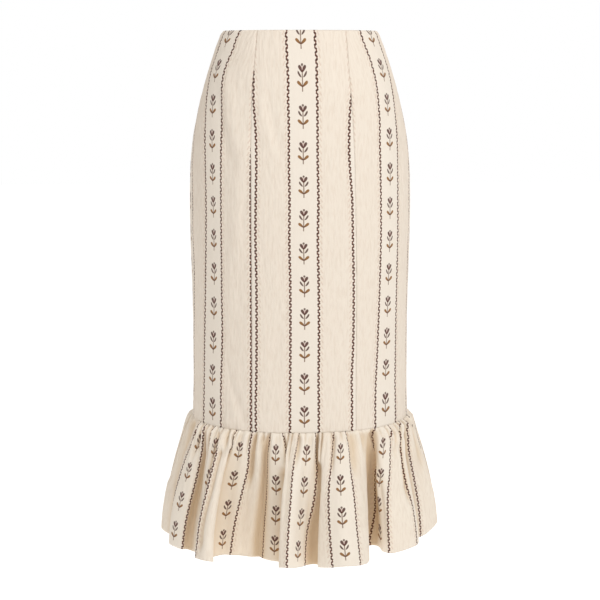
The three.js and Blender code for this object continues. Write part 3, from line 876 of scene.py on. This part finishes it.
def lobe(finish, x, y, name):
    """How far a point is from the middle of a leaf or petal: 1 on its outline. Also how far
    along it the point is, from -1 at its foot to 1 at its tip."""
    middle_x, middle_y, lean, half_length, half_width, outer, curl = LOBES[name]
    cosine = math.cos(math.radians(lean))
    sine = math.sin(math.radians(lean))
    dx = finish.math("SUBTRACT", x, middle_x)
    dy = finish.math("SUBTRACT", y, middle_y)
    along = finish.math("MULTIPLY", dx, cosine / half_length)
    along = finish.math("MULTIPLY_ADD", dy, sine / half_length, along)
    aside = finish.math("MULTIPLY", dx, -sine / half_width)
    aside = finish.math("MULTIPLY_ADD", dy, cosine / half_width, aside)
    aside = finish.math("MULTIPLY_ADD", finish.math("POWER", along, 2.0), -curl / half_width, aside)
    widen = finish.math("MULTIPLY_ADD", along, outer, 1.0)
    aside = finish.math("DIVIDE", aside, finish.math("MAXIMUM", widen, 0.2))
    lengthwise = finish.math("POWER", finish.math("ABSOLUTE", along), 2.4)
    sideways = finish.math("MULTIPLY", aside, aside)
    return finish.math("SQRT", finish.math("ADD", lengthwise, sideways)), along


def band_place(finish, across):
    """How far a point is from the middle of its flower band, and 1 where it is in the band."""
    shifted = finish.math("ADD", across, STRIPE_REPEAT / 2)
    in_repeat = finish.math("FLOORED_MODULO", shifted, STRIPE_REPEAT)
    from_centre = finish.math("SUBTRACT", in_repeat, STRIPE_REPEAT / 2)
    aside = finish.math("ABSOLUTE", from_centre)
    return aside, finish.fade(aside, BAND_HALF - 1.2, BAND_HALF + 0.4)


def print_chain(finish, aside, down, wander, edge):
    """The wavy dark line on either side of the band, thick and dark on each slant, with a pale
    blush beside it. Returns the chain's mask and colour, and the blush's mask."""
    turn = finish.math("MULTIPLY", down, 2 * math.pi / CHAIN_PITCH)
    phase = finish.math("MULTIPLY_ADD", wander, 1.3, turn)
    swing = finish.math("MULTIPLY", finish.math("SINE", phase), CHAIN_SWING)
    slant = finish.math("COSINE", finish.math("MULTIPLY", phase, 2.0))
    lean = finish.math("COSINE", phase)
    off = finish.math("SUBTRACT", finish.math("SUBTRACT", aside, BAND_HALF), swing)
    off = finish.math("ADD", finish.math("ABSOLUTE", off), edge)
    half = finish.math("MULTIPLY_ADD", lean, 0.10, CHAIN_HALF)
    half = finish.math("MULTIPLY_ADD", slant, 0.58, half)
    chain = finish.fade(off, half, finish.math("ADD", half, 0.40))
    worn = finish.math("MULTIPLY_ADD", lean, -0.15, 0.4)
    worn = finish.math("MULTIPLY_ADD", slant, -0.5, worn, clamp=True)
    colour = finish.blend(worn, CHAIN_DARK, CHAIN_LIGHT)
    blush_off = finish.math("SUBTRACT", finish.math("SUBTRACT", aside, BLUSH_PLACE), swing)
    blush = finish.fade(finish.math("ABSOLUTE", blush_off), 0.5, 1.5)
    blush = finish.math("MULTIPLY", blush, finish.fade(lean, -0.2, 0.9))
    return chain, colour, blush


def print_flower(finish, aside, down, wander, edge):
    """One flower to each pitch, measured up from its stem's end. Returns its parts from the
    lowest layer up, each with its mask, how strongly it covers, and its colour."""
    up = finish.math("FLOORED_MODULO", down, FLOWER_PITCH)
    up = finish.math("ADD", up, finish.math("MULTIPLY", wander, 0.5))
    side = finish.math("ADD", aside, finish.math("MULTIPLY", edge, 0.5))
    gold, gold_along = lobe(finish, side, up, "gold_leaf")
    slim, _ = lobe(finish, side, up, "slim_leaf")
    petal, petal_along = lobe(finish, side, up, "petal")
    bud_x = finish.math("POWER", side, 2.0)
    bud_y = finish.math("POWER", finish.math("SUBTRACT", up, BUD_UP), 2.0)
    bud = finish.math("SQRT", finish.math("ADD", bud_x, bud_y))
    heart_x = finish.math("POWER", finish.math("DIVIDE", side, 2.2), 2.0)
    heart_y = finish.math("DIVIDE", finish.math("SUBTRACT", up, HEART_UP), 3.2)
    heart = finish.math("ADD", heart_x, finish.math("POWER", heart_y, 2.0))
    from_middle = finish.math("ABSOLUTE", finish.math("SUBTRACT", up, STEM_HALF))
    stem_length = finish.fade(from_middle, STEM_HALF - 0.4, STEM_HALF + 0.2)
    stem = finish.math("MULTIPLY", finish.fade(side, 0.5, 1.05), stem_length)
    gold_foot = finish.fade(gold_along, -0.9, 0.2)
    petal_foot = finish.fade(petal_along, -0.2, 1.0)
    return [
        (finish.fade(heart, 0.5, 1.2), 0.45, PALE_MAUVE),
        (stem, 0.85, STEM),
        (finish.fade(gold, 0.86, 1.12), 0.95, finish.blend(gold_foot, GOLD_LEAF, GOLD_LEAF_FOOT)),
        (finish.fade(slim, 0.75, 1.2), 0.90, SLIM_LEAF),
        (finish.fade(petal, 0.82, 1.14), 0.92, finish.blend(petal_foot, SLIM_LEAF, PETAL)),
        (finish.fade(bud, 1.3, 1.95), 0.85, SLIM_LEAF),
    ]


def cloth_colour(finish, cloth, in_band, streak, creams, tint):
    """The bare cloth: its two creams, mottled towards the tint, with painted shade in the low streaks
    of the crinkle on the plain cloth, and painted warm shade in the folds."""
    plain, band = creams
    base = finish.blend(in_band, plain, band)
    mottle = finish.math("MULTIPLY_ADD", finish.noise(cloth, 0.018, 3.0), 0.5, -0.1, clamp=True)
    base = finish.blend(mottle, base, tint)
    on_plain = finish.math("MULTIPLY_ADD", in_band, -0.17, 0.22)
    # Painted shade: the plain cloth darkens along the low streaks of its crinkle
    crinkle_shade_share = finish.math("MULTIPLY", finish.fade(streak, 0.34, 0.56), on_plain)
    base = finish.blend(crinkle_shade_share, base, PAINTED_CRINKLE_SHADE)
    # Painted shade: the cloth turns towards a warm tan where the folds' map says it lies deep in a
    # fold
    folds = finish.node("ShaderNodeSeparateXYZ")
    fold_map = finish.node("ShaderNodeUVMap", uv_map="Folds")
    finish.feed(folds.inputs[0], fold_map.outputs["UV"])
    return finish.blend(finish.math("MULTIPLY", folds.outputs["X"], 0.7), base, PAINTED_FOLD_SHADE)


def weave(finish, across, down, in_band, streak, raised):
    """The weave's threads, the crinkle and the print's own slight raise, as fine relief, and
    the cloth's dull surface."""
    warp = finish.math("SINE", finish.math("MULTIPLY", across, 2 * math.pi / THREAD_PITCH))
    weft = finish.math("SINE", finish.math("MULTIPLY", down, 2 * math.pi / THREAD_PITCH))
    threads = finish.math("MULTIPLY", warp, weft)
    slub = finish.noise(finish.join(finish.math("MULTIPLY", across, 0.35), down), 1.6, 3.0)
    height = finish.math("MULTIPLY_ADD", threads, 0.03, finish.math("MULTIPLY", slub, 0.10))
    on_plain = finish.math("MULTIPLY_ADD", in_band, -0.85, 1.1)
    height = finish.math("ADD", height, finish.math("MULTIPLY", streak, on_plain))
    height = finish.math("ADD", raised, height)
    bump = finish.node("ShaderNodeBump")
    bump.inputs["Distance"].default_value = MM
    bump.inputs["Strength"].default_value = 0.85
    finish.feed(bump.inputs["Height"], height)
    finish.feed(finish.shader.inputs["Normal"], bump.outputs["Normal"])
    rough = finish.math("MULTIPLY_ADD", slub, 0.12, 0.82)
    finish.feed(finish.shader.inputs["Roughness"], rough)
    finish.shader.inputs["Sheen Weight"].default_value = 0.04
    finish.shader.inputs["Sheen Roughness"].default_value = 0.5
    finish.shader.inputs["Specular IOR Level"].default_value = 0.15


def linen(name, strength, tint, creams):
    """Printed crinkled linen. strength is how much of the print shows, tint is what the cloth
    shifts towards, and creams are its two creams: plain cloth and flower band."""
    finish = Finish(name)
    print_map = finish.node("ShaderNodeUVMap", uv_map="Cloth")
    parts = finish.node("ShaderNodeSeparateXYZ")
    finish.feed(parts.inputs[0], print_map.outputs["UV"])
    across = finish.math("MULTIPLY", parts.outputs["X"], 1 / MM)
    down = finish.math("MULTIPLY", parts.outputs["Y"], 1 / MM)
    cloth = finish.join(across, down)

    # the thread wanders a little, so no two motifs are quite alike
    wander = finish.math("MULTIPLY_ADD", finish.noise(cloth, 0.35, 2.0), 1.1, -0.55)
    edge = finish.math("MULTIPLY_ADD", finish.noise(cloth, 1.3, 2.0), 0.5, -0.25)
    stretched = finish.join(across, finish.math("MULTIPLY", down, 0.16))
    streak = finish.noise(stretched, 0.33, 3.0, 0.6)

    aside, in_band = band_place(finish, across)
    chain, chain_colour, blush = print_chain(finish, aside, down, wander, edge)
    layers = print_flower(finish, aside, down, wander, edge)
    layers.append((chain, 0.94, chain_colour))
    colour = cloth_colour(finish, cloth, in_band, streak, creams, tint)
    colour = finish.blend(finish.math("MULTIPLY", blush, 0.38 * strength), colour, BLUSH)
    printed = None
    for mask, share, paint in layers:
        colour = finish.blend(finish.math("MULTIPLY", mask, share * strength), colour, paint)
        printed = mask if printed is None else finish.math("MAXIMUM", printed, mask)
    finish.feed(finish.shader.inputs["Base Color"], colour)
    raised = finish.math("MULTIPLY", printed, 0.16 * strength)
    weave(finish, across, down, in_band, streak, raised)
    return finish.material


def cream_enamel():
    """Painted zip metal: smooth cream with a faint orange peel and rubbed high spots."""
    finish = Finish("cream_enamel")
    place = finish.node("ShaderNodeTexCoord").outputs["Object"]
    rub = finish.noise(place, 900.0, 3.0)
    colour = finish.blend(finish.fade(rub, 0.25, 0.6), ENAMEL, ENAMEL_RUBBED)
    finish.feed(finish.shader.inputs["Base Color"], colour)
    peel = finish.noise(place, 2200.0, 2.0)
    finish.feed(finish.shader.inputs["Roughness"], finish.math("MULTIPLY_ADD", rub, 0.2, 0.24))
    bump = finish.node("ShaderNodeBump")
    bump.inputs["Distance"].default_value = 0.1 * MM
    bump.inputs["Strength"].default_value = 0.4
    finish.feed(bump.inputs["Height"], peel)
    finish.feed(finish.shader.inputs["Normal"], bump.outputs["Normal"])
    finish.shader.inputs["Coat Weight"].default_value = 0.4
    finish.shader.inputs["Coat Roughness"].default_value = 0.15
    return finish.material


def make_body(outside, inside):
    """The five panels. Each has its edges, print, flowers' heights, grid and seed."""
    centre = front_print(CENTRE_LINES)
    left = front_print(LEFT_LINES)
    right = front_print(RIGHT_LINES)
    panels = {
        "front_centre": ("left_princess", "right_princess", centre, CENTRE_FLOWERS, 92, 230, 3),
        "front_side_left": ("left_side", "left_princess", left, LEFT_FLOWERS, 96, 220, 17),
        "front_side_right": ("right_princess", "right_side", right, RIGHT_FLOWERS, 96, 220, 29),
        "back_left": ("left_back", "left_side", back_print, BACK_FLOWERS, 118, 190, 41),
        "back_right": ("right_side", "right_back", back_print, BACK_FLOWERS, 118, 190, 53),
    }
    for node, (start, end, print_across, flowers, columns, rows, seed) in panels.items():
        shape = body_shape(start, end, print_across, flowers, seed)
        piece = shape_cloth(node + "_cloth", columns, rows, shape, CLOTH_THICKNESS, outside, inside)
        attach(piece, "skirt")
        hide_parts(node)


def make_flounce(outside, inside):
    """The two strips. Each has its first cloth distance, print, folds and seed."""
    halves = {
        "flounce_front": (-FLOUNCE_WIDTH / 2, flounce_front_print, FRONT_VALLEYS, 71),
        "flounce_back": (FLOUNCE_WIDTH / 2, flounce_back_print, back_valleys(), 83),
    }
    for node, (start_u, print_across_at, valleys, seed) in halves.items():
        shape = flounce_shape(start_u, print_across_at, valleys, seed)
        piece = shape_cloth(node + "_cloth", 600, 76, shape, FLOUNCE_THICKNESS, outside, inside)
        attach(piece, "skirt")
        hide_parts(node)


def finish_zip():
    """The zip's slider and pull keep their solids, in enamel."""
    enamel = cream_enamel()
    for node in ("zip_slider", "zip_pull"):
        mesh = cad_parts[node].data
        mesh.materials.clear()
        mesh.materials.append(enamel)


def make_world():
    """A white room: what is seen of it is white, and the light that it gives is softer."""
    world = bpy.data.worlds.new("room")
    world.use_nodes = True
    tree = world.node_tree
    light = tree.nodes["Background"]
    light.inputs["Color"].default_value = ROOM_COLOUR
    light.inputs["Strength"].default_value = ROOM_LIGHT
    seen = tree.nodes.new("ShaderNodeBackground")
    seen.inputs["Color"].default_value = WHITE
    path = tree.nodes.new("ShaderNodeLightPath")
    both = tree.nodes.new("ShaderNodeMixShader")
    tree.links.new(path.outputs["Is Camera Ray"], both.inputs["Fac"])
    tree.links.new(light.outputs[0], both.inputs[1])
    tree.links.new(seen.outputs[0], both.inputs[2])
    tree.links.new(both.outputs[0], tree.nodes["World Output"].inputs["Surface"])
    bpy.context.scene.world = world


def make_floor():
    """A pale floor, well below the hem."""
    ground = bmesh.new()
    bmesh.ops.create_grid(ground, x_segments=1, y_segments=1, size=14)
    bmesh.ops.translate(ground, verts=ground.verts, vec=(0, 0, FLOOR_Z))
    mesh = bpy.data.meshes.new("floor")
    ground.to_mesh(mesh)
    ground.free()
    floor = bpy.data.objects.new("floor", mesh)
    pale = Finish("pale_floor")
    pale.shader.inputs["Base Color"].default_value = FLOOR_GREY
    pale.shader.inputs["Roughness"].default_value = 0.9
    pale.shader.inputs["Emission Color"].default_value = WHITE
    pale.shader.inputs["Emission Strength"].default_value = 0.75
    mesh.materials.append(pale.material)
    bpy.context.scene.collection.objects.link(floor)


def make_lamps():
    """Soft light from the front right and from above, and a little from behind."""
    for name, (place, size, power, colour) in LAMPS.items():
        data = bpy.data.lights.new(name, "AREA")
        data.shape = "DISK"
        data.size = size
        data.energy = power
        data.color = colour
        lamp = bpy.data.objects.new(name, data)
        lamp.location = place
        lamp.rotation_mode = "QUATERNION"
        lamp.rotation_quaternion = (LAMPS_AIM - Vector(place)).to_track_quat("-Z", "Y")
        bpy.context.scene.collection.objects.link(lamp)


place_camera()
linen_outside = linen("linen_outside", 1.0, SHADE_TINT, (CREAM_PLAIN, CREAM_BAND))
linen_inside = linen("linen_inside", 0.35, INSIDE_TINT, (CREAM_PLAIN, CREAM_BAND))
# The flounce gets a lighter copy of the cloth: painted light on its crests
flounce_outside = linen("flounce_outside", 1.0, SHADE_TINT, (FLOUNCE_PLAIN_PAINTED_LIGHT, FLOUNCE_BAND_PAINTED_LIGHT))
make_body(linen_outside, linen_inside)
make_flounce(flounce_outside, linen_inside)
finish_zip()
make_world()
make_floor()
make_lamps()
bpy.context.scene.view_settings.view_transform = "Standard"
